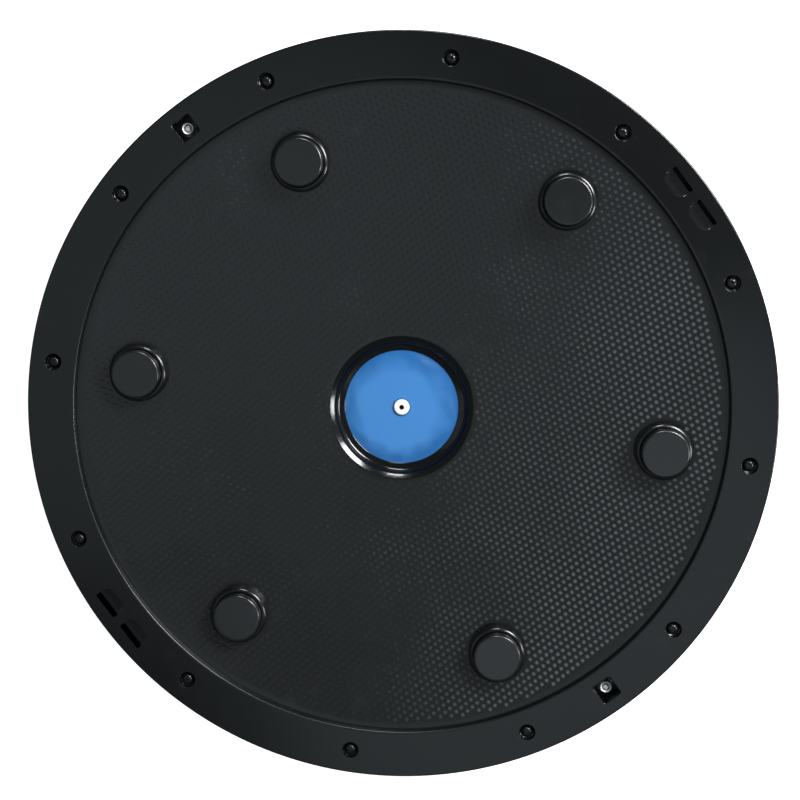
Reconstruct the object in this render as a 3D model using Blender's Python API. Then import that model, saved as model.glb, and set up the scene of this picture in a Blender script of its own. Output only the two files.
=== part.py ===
"""Half-ball balance trainer: a dished platform clamped over an inflated dome.

The part stands dome down, platform up.  Units are metres, +Z up, and the origin is the
centre of the dome's flattened contact patch on the floor.  Heights inside the assembly
are measured from the flat face of the platform's flange, so they are mostly negative.
"""

import math

import bmesh
import bpy

# ---- Driving dimensions -------------------------------------------------------------

FLANGE_HEIGHT = 0.225        # flange face above the floor
OUTER_RADIUS = 0.300         # platform and clamp ring
STEP_RADIUS = 0.262          # flange steps down to the dished deck here
FLANGE_THICKNESS = 0.010
DECK_DROP = 0.0072           # deck below the flange face at its outer edge
DECK_RADIUS = 0.258
DECK_SAG = 0.032             # extra depth of the deck towards the middle
DECK_THICKNESS = 0.004
HUB_RADIUS = 0.0595          # deck rolls over into the central opening here
OPENING_RADIUS = 0.0468
LIP_BOTTOM = -0.0466
LIP_SEAT_RADIUS = 0.0545     # the lip's flat underside ends here
GAP = 0.0003                 # clearance between touching pieces
CUT_OVER = 0.001             # how far a cutter passes the surface it opens

FASTENER_RADIUS = 0.281      # pitch circle of screws, windows and strap slots
SCREW_COUNT = 12
SCREW_ANGLE = math.radians(22)
FOOT_COUNT = 6
FOOT_CIRCLE = 0.2135
FOOT_ANGLE = math.radians(52)
SLOT_ANGLES = (math.radians(37), math.radians(217))
ANCHOR_ANGLES = (math.radians(127), math.radians(307))

RING_TOP = -FLANGE_THICKNESS - GAP
RING_BOTTOM = -0.0265
RING_INNER = 0.2660
RING_EDGE_ROUND = 0.0090     # the ring's outer lower edge is cut back this far
BEAD_OUTER = 0.2725          # bladder edge trapped between platform and ring
BEAD_THICKNESS = 0.0030
MEMBRANE = 0.0018            # base sheet thickness
DOME_WALL = 0.0028
DOME_BASE_RADIUS = 0.2650
DOME_SINK = 0.005            # how far the round dome is squashed flat on the floor

COUNTERBORE_RADIUS = 0.00645
COUNTERBORE_DEPTH = 0.0046
SCREW_HEAD_RADIUS = 0.0042
SCREW_HEAD_HEIGHT = 0.0031
SCREW_SHANK_RADIUS = 0.0021
SCREW_HOLE_RADIUS = 0.0026
SCREW_LENGTH = 0.018

FOOT_RADIUS = 0.0195
FOOT_TOP = 0.005
SOCKET_RADIUS = 0.0204
SOCKET_FLOOR = -0.0130
COLLAR_RADIUS = 0.0228
COLLAR_TOP = -0.0045
SPIGOT_RADIUS = 0.004
SPIGOT_END = -0.0182

SLOT_LENGTH = 0.0235
SLOT_SPACING = 0.032
SLOT_INNER = 0.2752
SLOT_KNEE = 0.2832           # the ramp turns down here
SLOT_KNEE_DEPTH = 0.0030
SLOT_RAMP_END = 0.2870
SLOT_RAMP_DEPTH = 0.0090
SLOT_OUTER = 0.2888
SLOT_LIP = 0.0024            # the flange is this thick over the recess for the strap
STRAP_INNER = 0.2803         # recess under each pair of slots
STRAP_OUTER = 0.2925
STRAP_FLOOR = -0.0235

WINDOW_SIZE = 0.0155
WINDOW_POCKET = 0.0165
NUT_SEAT = -0.0190
BOLT_RADIUS = 0.003
BOLT_END = -0.0096
EYE_INNER_RADIUS = 0.0065
EYE_WIRE_RADIUS = 0.0026
EYE_NECK = 0.0030            # from the lower washer to the eye
WASHER_RADIUS = 0.0060
WASHER_THICKNESS = 0.0012
NUT_FLATS = 0.0100           # across flats
NUT_HEX_HEIGHT = 0.0050
NUT_HEIGHT = 0.0072          # with the locking collar
NUT_COLLAR_RADIUS = 0.0046

MEMBRANE_CROWN = -0.0446     # base sheet at the middle of the opening
VALVE_COLLAR_RADIUS = 0.0070
VALVE_BORE = 0.0043
VALVE_FLANGE_RADIUS = 0.0140
VALVE_LENGTH = 0.0150
PLUG_HEAD_RADIUS = 0.0065
PLUG_HEAD_HEIGHT = 0.0022
PLUG_STEM_RADIUS = 0.0039
PLUG_LENGTH = 0.013

RING_SEGMENTS = 60


# ---- Helpers ------------------------------------------------------------------------

def clear_scene():
    for item in list(bpy.data.objects):
        bpy.data.objects.remove(item, do_unlink=True)


def make_material(name, colour, roughness, metallic=0.0):
    material = bpy.data.materials.new(name)
    material.use_nodes = True
    shader = material.node_tree.nodes["Principled BSDF"]
    shader.inputs["Base Color"].default_value = (*colour, 1.0)
    shader.inputs["Roughness"].default_value = roughness
    shader.inputs["Metallic"].default_value = metallic
    return material


def new_object(name, mesh, material, parent):
    item = bpy.data.objects.new(name, mesh)
    bpy.context.scene.collection.objects.link(item)
    if material is not None:
        mesh.materials.clear()
        mesh.materials.append(material)
    item.parent = parent
    return item


def finish_mesh(name, shape, crease=35):
    """Write a bmesh to a mesh with its faces outwards and round sides shaded smooth."""
    bmesh.ops.remove_doubles(shape, verts=shape.verts, dist=1e-6)
    bmesh.ops.recalc_face_normals(shape, faces=shape.faces)
    mesh = bpy.data.meshes.new(name)
    shape.to_mesh(mesh)
    shape.free()
    mesh.shade_smooth()
    mesh.set_sharp_from_angle(angle=math.radians(crease))
    return mesh


def turned_mesh(name, profile, segments, closed=True):
    """Turn a (radius, height) profile about Z.  An open profile starts and ends on Z."""
    shape = bmesh.new()
    points = [shape.verts.new((radius, 0.0, height)) for radius, height in profile]
    pairs = list(zip(points, points[1:]))
    if closed:
        pairs.append((points[-1], points[0]))
    edges = [shape.edges.new(pair) for pair in pairs]
    bmesh.ops.spin(shape, geom=points + edges, cent=(0, 0, 0), axis=(0, 0, 1),
                   angle=math.tau, steps=segments, use_merge=True)
    return finish_mesh(name, shape)


def block(shape, inner, outer, width, bottom, top, angle, offset=0.0):
    """Add a box to a bmesh: radial inner..outer, tangential width, height bottom..top."""
    outline = [(inner, bottom), (outer, bottom), (outer, top), (inner, top)]
    prism(shape, outline, width, angle, offset)


def prism(shape, outline, width, angle, offset=0.0):
    """Add a prism with a (radius, height) outline, extruded along the tangent."""
    def place(radius, side, height):
        x = radius * math.cos(angle) - side * math.sin(angle)
        y = radius * math.sin(angle) + side * math.cos(angle)
        return (x, y, height)

    ends = []
    for side in (offset - width / 2, offset + width / 2):
        ends.append([shape.verts.new(place(radius, side, height)) for radius, height in outline])
    shape.faces.new(ends[0])
    shape.faces.new(reversed(ends[1]))
    for index in range(len(outline)):
        after = (index + 1) % len(outline)
        shape.faces.new((ends[0][index], ends[1][index], ends[1][after], ends[0][after]))


def cylinder(shape, centre, radius, bottom, top, segments=24):
    """Add a closed cylinder to a bmesh."""
    rings = []
    for height in (bottom, top):
        ring = []
        for step in range(segments):
            turn = math.tau * step / segments
            x = centre[0] + radius * math.cos(turn)
            y = centre[1] + radius * math.sin(turn)
            ring.append(shape.verts.new((x, y, height)))
        rings.append(ring)
    shape.faces.new(reversed(rings[0]))
    shape.faces.new(rings[1])
    for index in range(segments):
        after = (index + 1) % segments
        shape.faces.new((rings[0][index], rings[0][after], rings[1][after], rings[1][index]))


def boolean(item, name, operation, shape):
    """Cut a bmesh out of an object, or add it, with a hidden tool object."""
    tool = new_object(name, finish_mesh(name, shape), None, item.parent)
    tool.hide_render = True
    tool.display_type = "WIRE"
    modifier = item.modifiers.new(name, "BOOLEAN")
    modifier.operation = operation
    modifier.solver = "EXACT"
    modifier.object = tool


def polar(radius, angle):
    return (radius * math.cos(angle), radius * math.sin(angle))


def screw_angles():
    return [SCREW_ANGLE + math.tau * index / SCREW_COUNT for index in range(SCREW_COUNT)]


def foot_angles():
    return [FOOT_ANGLE + math.tau * index / FOOT_COUNT for index in range(FOOT_COUNT)]


def deck_height(radius):
    """Height of the dished deck's upper surface."""
    return -DECK_DROP - DECK_SAG * (1 - (radius / DECK_RADIUS) ** 2)


def deck_radii():
    """Radii at which the deck's curve is sampled, from the rim to the hub."""
    steps = 5
    return [DECK_RADIUS + (HUB_RADIUS - DECK_RADIUS) * index / steps for index in range(steps + 1)]


# ---- Platform -----------------------------------------------------------------------

def platform_profile():
    top = [(OUTER_RADIUS, -FLANGE_THICKNESS),
           (OUTER_RADIUS, -0.0030),
           (OUTER_RADIUS - 0.0009, -0.0009),
           (OUTER_RADIUS - 0.0030, 0.0),
           (STEP_RADIUS + 0.0008, 0.0),
           (STEP_RADIUS, -0.0008),
           (STEP_RADIUS - 0.0008, -DECK_DROP + 0.0008)]
    top += [(radius, deck_height(radius)) for radius in deck_radii()]
    hub = deck_height(HUB_RADIUS)
    lip = [(HUB_RADIUS - 0.0025, hub - 0.0006),
           (HUB_RADIUS - 0.0045, hub - 0.0027),
           (HUB_RADIUS - 0.0052, hub - 0.0053),
           (0.0530, LIP_BOTTOM + 0.0017),
           (0.0500, LIP_BOTTOM + 0.0018),
           (0.0476, LIP_BOTTOM + 0.0007),
           (OPENING_RADIUS, LIP_BOTTOM + 0.0003),
           (OPENING_RADIUS + 0.0005, LIP_BOTTOM),
           (LIP_SEAT_RADIUS, LIP_BOTTOM)]
    under = [(radius, deck_height(radius) - DECK_THICKNESS) for radius in reversed(deck_radii()[:-1])]
    return top + lip + under + [(0.2615, -FLANGE_THICKNESS)]


def add_foot_posts(platform):
    """Posts for the feet; their lower ends follow the middle of the dished deck."""
    shape = bmesh.new()
    segments = 24
    heights = (None, COLLAR_TOP - 0.0010, COLLAR_TOP)
    radii = (COLLAR_RADIUS + 0.0014, COLLAR_RADIUS, COLLAR_RADIUS - 0.0008)
    for angle in foot_angles():
        centre = polar(FOOT_CIRCLE, angle)
        rings = []
        for radius, height in zip(radii, heights):
            ring = []
            for step in range(segments):
                turn = math.tau * step / segments
                x = centre[0] + radius * math.cos(turn)
                y = centre[1] + radius * math.sin(turn)
                z = height
                if z is None:
                    z = deck_height(math.hypot(x, y)) - DECK_THICKNESS / 2
                ring.append(shape.verts.new((x, y, z)))
            rings.append(ring)
        middle = deck_height(FOOT_CIRCLE) - DECK_THICKNESS / 2
        foot = shape.verts.new((centre[0], centre[1], middle))
        for index in range(segments):
            after = (index + 1) % segments
            shape.faces.new((foot, rings[0][after], rings[0][index]))
            for low, high in zip(rings, rings[1:]):
                shape.faces.new((low[index], low[after], high[after], high[index]))
        shape.faces.new(rings[-1])
    boolean(platform, "foot_posts_tool", "UNION", shape)


def cut_platform(platform):
    shape = bmesh.new()
    for angle in foot_angles():
        centre = polar(FOOT_CIRCLE, angle)
        cylinder(shape, centre, SOCKET_RADIUS, SOCKET_FLOOR, CUT_OVER, 24)
    boolean(platform, "sockets_tool", "DIFFERENCE", shape)
    below = -FLANGE_THICKNESS - CUT_OVER
    shape = bmesh.new()
    for angle in foot_angles():
        centre = polar(FOOT_CIRCLE, angle)
        cylinder(shape, centre, SPIGOT_RADIUS + GAP, SPIGOT_END - GAP, SOCKET_FLOOR + CUT_OVER, 12)
    for angle in screw_angles():
        cylinder(shape, polar(FASTENER_RADIUS, angle), COUNTERBORE_RADIUS, -COUNTERBORE_DEPTH, CUT_OVER, 16)
    for angle in ANCHOR_ANGLES:
        half = WINDOW_SIZE / 2
        block(shape, FASTENER_RADIUS - half, FASTENER_RADIUS + half, WINDOW_SIZE, below, CUT_OVER, angle)
    for angle in SLOT_ANGLES:
        for side in (-1, 1):
            outline = [(SLOT_INNER - 0.0035, CUT_OVER), (SLOT_KNEE, -SLOT_KNEE_DEPTH),
                       (SLOT_RAMP_END, -SLOT_RAMP_DEPTH), (SLOT_RAMP_END, below), (STRAP_OUTER, below),
                       (STRAP_OUTER, -SLOT_LIP - 0.0020), (SLOT_OUTER, -SLOT_LIP), (SLOT_OUTER, CUT_OVER)]
            prism(shape, outline, SLOT_LENGTH, angle, side * SLOT_SPACING / 2)
    boolean(platform, "recesses_tool", "DIFFERENCE", shape)
    shape = bmesh.new()
    for angle in screw_angles():
        top = CUT_OVER - COUNTERBORE_DEPTH
        cylinder(shape, polar(FASTENER_RADIUS, angle), SCREW_HOLE_RADIUS, below, top, 8)
    boolean(platform, "screw_holes_tool", "DIFFERENCE", shape)


def build_platform(material, parent):
    mesh = turned_mesh("platform", platform_profile(), RING_SEGMENTS)
    platform = new_object("platform", mesh, material, parent)
    add_foot_posts(platform)
    cut_platform(platform)


# ---- Clamp ring ---------------------------------------------------------------------

def build_clamp_ring(material, parent):
    """Ring on the dome side; its ledge hooks the dome's edge against the platform."""
    ledge = -FLANGE_THICKNESS - MEMBRANE - BEAD_THICKNESS - 3 * GAP
    profile = [(RING_INNER, RING_BOTTOM + 0.0020),
               (RING_INNER + 0.0020, RING_BOTTOM),
               (OUTER_RADIUS - RING_EDGE_ROUND, RING_BOTTOM),
               (OUTER_RADIUS - 0.0025, RING_BOTTOM + 0.0025),
               (OUTER_RADIUS, RING_BOTTOM + RING_EDGE_ROUND),
               (OUTER_RADIUS, RING_TOP),
               (BEAD_OUTER + GAP, RING_TOP),
               (BEAD_OUTER + GAP, ledge),
               (RING_INNER, ledge)]
    ring = new_object("clamp_ring", turned_mesh("clamp_ring", profile, RING_SEGMENTS), material, parent)
    above = RING_TOP + CUT_OVER
    shape = bmesh.new()
    for angle in screw_angles():
        end = -COUNTERBORE_DEPTH - SCREW_LENGTH - 0.0005
        cylinder(shape, polar(FASTENER_RADIUS, angle), SCREW_SHANK_RADIUS + GAP, end, above, 8)
    for angle in ANCHOR_ANGLES:
        half = WINDOW_POCKET / 2
        block(shape, FASTENER_RADIUS - half, FASTENER_RADIUS + half, WINDOW_POCKET, NUT_SEAT, above, angle)
    width = SLOT_SPACING + SLOT_LENGTH + 2 * GAP
    for angle in SLOT_ANGLES:
        block(shape, STRAP_INNER, STRAP_OUTER, width, STRAP_FLOOR, above, angle)
    boolean(ring, "ring_recesses_tool", "DIFFERENCE", shape)
    shape = bmesh.new()
    for angle in ANCHOR_ANGLES:
        centre = polar(FASTENER_RADIUS, angle)
        cylinder(shape, centre, BOLT_RADIUS + GAP, RING_BOTTOM - CUT_OVER, NUT_SEAT + CUT_OVER, 12)
    boolean(ring, "bolt_holes_tool", "DIFFERENCE", shape)


# ---- Bladder ------------------------------------------------------------------------

def build_base_membrane(material, parent):
    """Base sheet of the bladder: it lies along the underside of the deck."""
    upper = [(BEAD_OUTER, -FLANGE_THICKNESS - GAP), (0.2612, -FLANGE_THICKNESS - GAP)]
    upper += [(radius, deck_height(radius) - DECK_THICKNESS - GAP) for radius in deck_radii()[:-1]]
    upper += [(LIP_SEAT_RADIUS, LIP_BOTTOM - GAP),
              (0.0440, LIP_BOTTOM - GAP),
              (0.0260, -0.0452),
              (VALVE_COLLAR_RADIUS + GAP, MEMBRANE_CROWN)]
    lower = [(radius, height - MEMBRANE) for radius, height in reversed(upper)]
    mesh = turned_mesh("base_membrane", upper + lower, RING_SEGMENTS)
    new_object("base_membrane", mesh, material, parent)


def build_dome(material, parent):
    """Inflated dome: part of a ball, flattened where it rests on the floor."""
    floor = -FLANGE_HEIGHT
    start = RING_BOTTOM - 0.0005
    rise = start - floor + DOME_SINK
    ball = (DOME_BASE_RADIUS ** 2 + rise ** 2) / (2 * rise)
    centre = floor - DOME_SINK + ball
    patch = math.sqrt(ball ** 2 - (floor - centre) ** 2)
    first = math.asin(DOME_BASE_RADIUS / ball)
    last = math.asin(patch / ball)
    steps = 7
    rim_top = -FLANGE_THICKNESS - MEMBRANE - 2 * GAP
    rim_bottom = rim_top - BEAD_THICKNESS
    outside = [(BEAD_OUTER, rim_top), (BEAD_OUTER, rim_bottom), (DOME_BASE_RADIUS + 0.0006, rim_bottom)]
    inside = [(DOME_BASE_RADIUS - 0.0030, rim_top - 0.0024)]
    inner = ball - DOME_WALL
    for index in range(steps + 1):
        angle = first + (last - first) * index / steps
        outside.append((ball * math.sin(angle), centre - ball * math.cos(angle)))
        depth = max(centre - inner * math.cos(angle), floor + DOME_WALL)
        inside.append((inner * math.sin(angle), depth))
    profile = outside + [(0.0, floor), (0.0, floor + DOME_WALL)] + list(reversed(inside))
    new_object("dome_shell", turned_mesh("dome_shell", profile, RING_SEGMENTS), material, parent)


def build_valve(seat_material, plug_material, parent):
    """Valve seat bonded into the base sheet, and the plug pushed into it."""
    crown = MEMBRANE_CROWN
    flange = crown - MEMBRANE - 0.0006
    seat = [(VALVE_BORE, crown), (VALVE_COLLAR_RADIUS, crown), (VALVE_COLLAR_RADIUS, flange),
            (VALVE_FLANGE_RADIUS, flange - 0.0004), (VALVE_FLANGE_RADIUS, flange - 0.0016),
            (0.0062, flange - 0.0020), (0.0056, crown - VALVE_LENGTH), (VALVE_BORE, crown - VALVE_LENGTH)]
    new_object("valve_seat", turned_mesh("valve_seat", seat, 20), seat_material, parent)
    head = GAP + PLUG_HEAD_HEIGHT
    plug = [(0.0, head - 0.0075), (0.0016, head - 0.0070), (0.0017, head),
            (PLUG_HEAD_RADIUS - 0.0007, head), (PLUG_HEAD_RADIUS, head - 0.0008), (PLUG_HEAD_RADIUS, GAP),
            (0.0036, GAP), (0.0034, -0.0045), (PLUG_STEM_RADIUS, -0.0052),
            (0.0028, -PLUG_LENGTH), (0.0, -PLUG_LENGTH)]
    mesh = turned_mesh("valve_plug", plug, 20, closed=False)
    item = new_object("valve_plug", mesh, plug_material, parent)
    item.location = (0.0, 0.0, crown)


# ---- Fasteners and feet -------------------------------------------------------------

def screw_mesh(material):
    """Pan-head thread-forming screw; origin under the head."""
    radius = SCREW_HEAD_RADIUS
    head = SCREW_HEAD_HEIGHT
    profile = [(0.0, head - 0.0014), (0.0013, head), (radius * 0.65, head),
               (radius, head * 0.5), (radius, 0.0), (SCREW_SHANK_RADIUS, 0.0),
               (SCREW_SHANK_RADIUS, 0.0022 - SCREW_LENGTH), (0.0, -SCREW_LENGTH)]
    mesh = turned_mesh("rim_screw", profile, 10, closed=False)
    mesh.materials.append(material)
    return mesh


def build_screws(material, parent):
    mesh = screw_mesh(material)
    for index, angle in enumerate(screw_angles()):
        item = new_object(f"rim_screw_{index + 1:02d}", mesh, None, parent)
        item.location = (*polar(FASTENER_RADIUS, angle), -COUNTERBORE_DEPTH + GAP)
        item.rotation_euler = (0.0, 0.0, angle)


def build_feet(material, parent):
    """Rubber feet pressed into the collars; origin at the foot's worn face."""
    bottom = SOCKET_FLOOR + GAP - FOOT_TOP
    end = SPIGOT_END - FOOT_TOP
    profile = [(0.0, 0.0), (FOOT_RADIUS - 0.0012, 0.0), (FOOT_RADIUS, -0.0012),
               (FOOT_RADIUS, bottom), (SPIGOT_RADIUS, bottom), (SPIGOT_RADIUS, end), (0.0, end)]
    mesh = turned_mesh("foot_pad", profile, 24, closed=False)
    mesh.materials.append(material)
    for index, angle in enumerate(foot_angles()):
        item = new_object(f"foot_pad_{index + 1}", mesh, None, parent)
        item.location = (*polar(FOOT_CIRCLE, angle), FOOT_TOP)


def eye_bolt_mesh(material):
    """Eye of an eye bolt; its origin is where the neck meets the lower washer."""
    shape = bmesh.new()
    eye_radius = EYE_INNER_RADIUS + EYE_WIRE_RADIUS
    eye_centre = -EYE_NECK - eye_radius
    wire_sides = 8
    turns = 20
    rings = []
    for step in range(turns):
        turn = math.tau * step / turns
        ring = []
        for side in range(wire_sides):
            wire = math.tau * side / wire_sides
            reach = eye_radius + EYE_WIRE_RADIUS * math.cos(wire)
            x = EYE_WIRE_RADIUS * math.sin(wire)
            ring.append(shape.verts.new((x, reach * math.sin(turn), eye_centre + reach * math.cos(turn))))
        rings.append(ring)
    for step in range(turns):
        after = rings[(step + 1) % turns]
        for side in range(wire_sides):
            beside = (side + 1) % wire_sides
            shape.faces.new((rings[step][side], rings[step][beside], after[beside], after[side]))
    mesh = finish_mesh("eye_bolt", shape)
    mesh.materials.append(material)
    return mesh


def build_anchors(steel, zinc, parent):
    """Band anchors: an eye bolt through the ring, a washer each side and a locking nut."""
    eye_mesh = eye_bolt_mesh(zinc)
    neck_top = RING_BOTTOM - GAP - WASHER_THICKNESS - GAP
    length = BOLT_END - neck_top
    washer = [(BOLT_RADIUS + GAP, 0.0), (BOLT_RADIUS + GAP, WASHER_THICKNESS),
              (WASHER_RADIUS, WASHER_THICKNESS), (WASHER_RADIUS, 0.0)]
    washer_mesh = turned_mesh("washer", washer, 16)
    washer_mesh.materials.append(steel)
    nut_mesh = locking_nut_mesh(steel)
    for label, angle in zip("ab", ANCHOR_ANGLES):
        place = polar(FASTENER_RADIUS, angle)
        bolt = new_object(f"eye_bolt_{label}", eye_mesh.copy(), None, parent)
        bolt.location = (*place, neck_top)
        bolt.rotation_euler = (0.0, 0.0, angle)
        shank = bmesh.new()
        cylinder(shank, (0.0, 0.0), BOLT_RADIUS, -0.004, length, 12)
        tool = new_object(f"shank_{label}_tool", finish_mesh("shank", shank), None, bolt)
        tool.hide_render = True
        tool.display_type = "WIRE"
        union = bolt.modifiers.new("shank", "BOOLEAN")
        union.operation = "UNION"
        union.object = tool
        ring_washer = RING_BOTTOM - GAP - WASHER_THICKNESS
        for name, height in (("ring_washer", ring_washer), ("nut_washer", NUT_SEAT + GAP)):
            item = new_object(f"{name}_{label}", washer_mesh, None, parent)
            item.location = (*place, height)
        nut = new_object(f"lock_nut_{label}", nut_mesh, None, parent)
        nut.location = (*place, NUT_SEAT + GAP + WASHER_THICKNESS + GAP)
        nut.rotation_euler = (0.0, 0.0, angle)


def locking_nut_mesh(material):
    """Hexagon nut with a round locking collar on top."""
    shape = bmesh.new()
    sides = 12
    levels = [(None, 0.0), (None, NUT_HEX_HEIGHT), (NUT_COLLAR_RADIUS, NUT_HEX_HEIGHT + 0.0004),
              (NUT_COLLAR_RADIUS - 0.0002, NUT_HEIGHT - 0.0006), (0.0036, NUT_HEIGHT),
              (BOLT_RADIUS + GAP, NUT_HEIGHT), (BOLT_RADIUS + GAP, 0.0)]
    rings = []
    for radius, height in levels:
        ring = []
        for step in range(sides):
            turn = math.tau * step / sides
            reach = radius
            if reach is None:
                reach = NUT_FLATS / 2 / math.cos((turn % (math.pi / 3)) - math.pi / 6)
            ring.append(shape.verts.new((reach * math.cos(turn), reach * math.sin(turn), height)))
        rings.append(ring)
    for low, high in zip(rings, rings[1:] + rings[:1]):
        for step in range(sides):
            after = (step + 1) % sides
            shape.faces.new((low[step], low[after], high[after], high[step]))
    mesh = finish_mesh("lock_nut", shape)
    mesh.materials.append(material)
    return mesh


# ---- Assembly -----------------------------------------------------------------------

def build():
    clear_scene()
    moulded = make_material("moulded_plastic", (0.022, 0.026, 0.028), 0.42)
    rubber = make_material("foot_rubber", (0.032, 0.038, 0.041), 0.62)
    bladder = make_material("bladder_vinyl", (0.060, 0.260, 0.660), 0.38)
    white = make_material("plug_plastic", (0.90, 0.91, 0.92), 0.35)
    black = make_material("blackened_steel", (0.020, 0.020, 0.022), 0.40, 0.8)
    steel = make_material("zinc_steel", (0.62, 0.63, 0.65), 0.28, 1.0)

    assembly = bpy.data.objects.new("assembly", None)
    assembly.location = (0.0, 0.0, FLANGE_HEIGHT)
    bpy.context.scene.collection.objects.link(assembly)

    build_platform(moulded, assembly)
    build_clamp_ring(moulded, assembly)
    build_base_membrane(bladder, assembly)
    build_dome(bladder, assembly)
    build_valve(bladder, white, assembly)
    build_screws(black, assembly)
    build_feet(rubber, assembly)
    build_anchors(steel, steel, assembly)
    bpy.context.view_layer.update()


build()
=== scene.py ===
"""Looks of the half-ball balance trainer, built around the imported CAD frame.

Metres, +Z up.  Heights in the builders are measured from the face of the platform's
flange, as in the CAD, and moved up by FLANGE when a mesh is written.
"""
import math
import random

import bmesh
import bpy
from mathutils import Matrix, Vector
from mathutils.geometry import delaunay_2d_cdt


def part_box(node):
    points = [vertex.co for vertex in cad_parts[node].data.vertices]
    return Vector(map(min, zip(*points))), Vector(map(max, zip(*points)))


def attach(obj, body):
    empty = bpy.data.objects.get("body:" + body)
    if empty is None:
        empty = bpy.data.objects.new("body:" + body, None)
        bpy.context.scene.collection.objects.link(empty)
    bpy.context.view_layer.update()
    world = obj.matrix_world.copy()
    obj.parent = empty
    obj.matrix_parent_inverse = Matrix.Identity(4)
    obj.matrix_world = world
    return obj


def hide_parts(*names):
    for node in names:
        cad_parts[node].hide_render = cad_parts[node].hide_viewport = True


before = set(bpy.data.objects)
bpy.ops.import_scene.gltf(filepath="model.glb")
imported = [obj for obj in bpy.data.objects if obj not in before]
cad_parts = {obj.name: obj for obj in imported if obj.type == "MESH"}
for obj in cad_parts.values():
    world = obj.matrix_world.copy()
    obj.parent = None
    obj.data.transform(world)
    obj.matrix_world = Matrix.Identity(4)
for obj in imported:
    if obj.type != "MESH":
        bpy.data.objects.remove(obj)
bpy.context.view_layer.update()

# ---- Sizes ---------------------------------------------------------------------------

PLATFORM_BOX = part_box("platform")
FLANGE = PLATFORM_BOX[1][2]                  # height of the flange face
OUTER = PLATFORM_BOX[1][0]                   # outer radius of the platform
THICK = 0.010                                # flange thickness
STEP = 0.2620                                # radius of the step down to the deck
DECK_RADIUS = 0.2580
DECK_DROP = 0.0072
DECK_SAG = 0.0320
DECK_THICK = 0.0040
HUB = 0.0595
LIP_BOTTOM = -0.0466
LIP_OUTER = 0.0545                           # outer radius of the lip's underside
PITCH_CIRCLE = 0.2810                        # screws, windows and slots
SCREW_ANGLES = [math.radians(22 + 30 * k) for k in range(12)]
FOOT_ANGLES = [math.radians(52 + 60 * k) for k in range(6)]
FOOT_CIRCLE = 0.2135
SLOT_ANGLES = [math.radians(37), math.radians(217)]
ANCHOR_ANGLES = [math.radians(127), math.radians(307)]
SLIT_STARTS = (0.2864, 0.2848)               # where the slits begin, at each of the two angles
SLOT_SPACING = 0.032
FOOT_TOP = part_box("foot_pad_1")[1][2] - FLANGE
FOOT_RADIUS = 0.0195
SOCKET_FLOOR = -0.0130
MEMBRANE_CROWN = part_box("valve_seat")[1][2] - FLANGE
RING_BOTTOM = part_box("clamp_ring")[0][2] - FLANGE
FLOOR = -FLANGE
GAP = 0.0003                                 # air between two pieces that touch in the CAD
AROUND = 240                                 # faces round the flange and the clamp ring
HUB_AROUND = 120                             # faces round the central opening

# slots of the platform's mesh for its materials
FACE_LOOK, DECK_LOOK, LIP_LOOK, DOT_LOOK, COLLAR_LOOK = range(5)

# grip dots of the deck: staggered rows
DOT_ROW_ANGLE = math.radians(40)
DOT_PITCH = 0.00510
DOT_ROW_PITCH = 0.00523
DOT_RADIUS = 0.00185
DOT_HEIGHT = 0.00026
DOT_SIDES = 8
DOT_EDGE_CLEAR = 0.0022                      # from a dot's centre to the hub and the step
DOT_FOOT_CLEAR = 0.0252                      # from a dot's centre to the middle of a foot
SHEEN_DIRECTION = math.radians(-16)         # the side towards which the painted sheen on the dots' tops grows
SHEEN_REACH = 0.20                          # from the middle to where that painted sheen is strongest


def deck_height(radius):
    return -DECK_DROP - DECK_SAG * (1 - (radius / DECK_RADIUS) ** 2)


def polar(radius, angle):
    return (radius * math.cos(angle), radius * math.sin(angle))


# ---- Materials -----------------------------------------------------------------------

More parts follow.
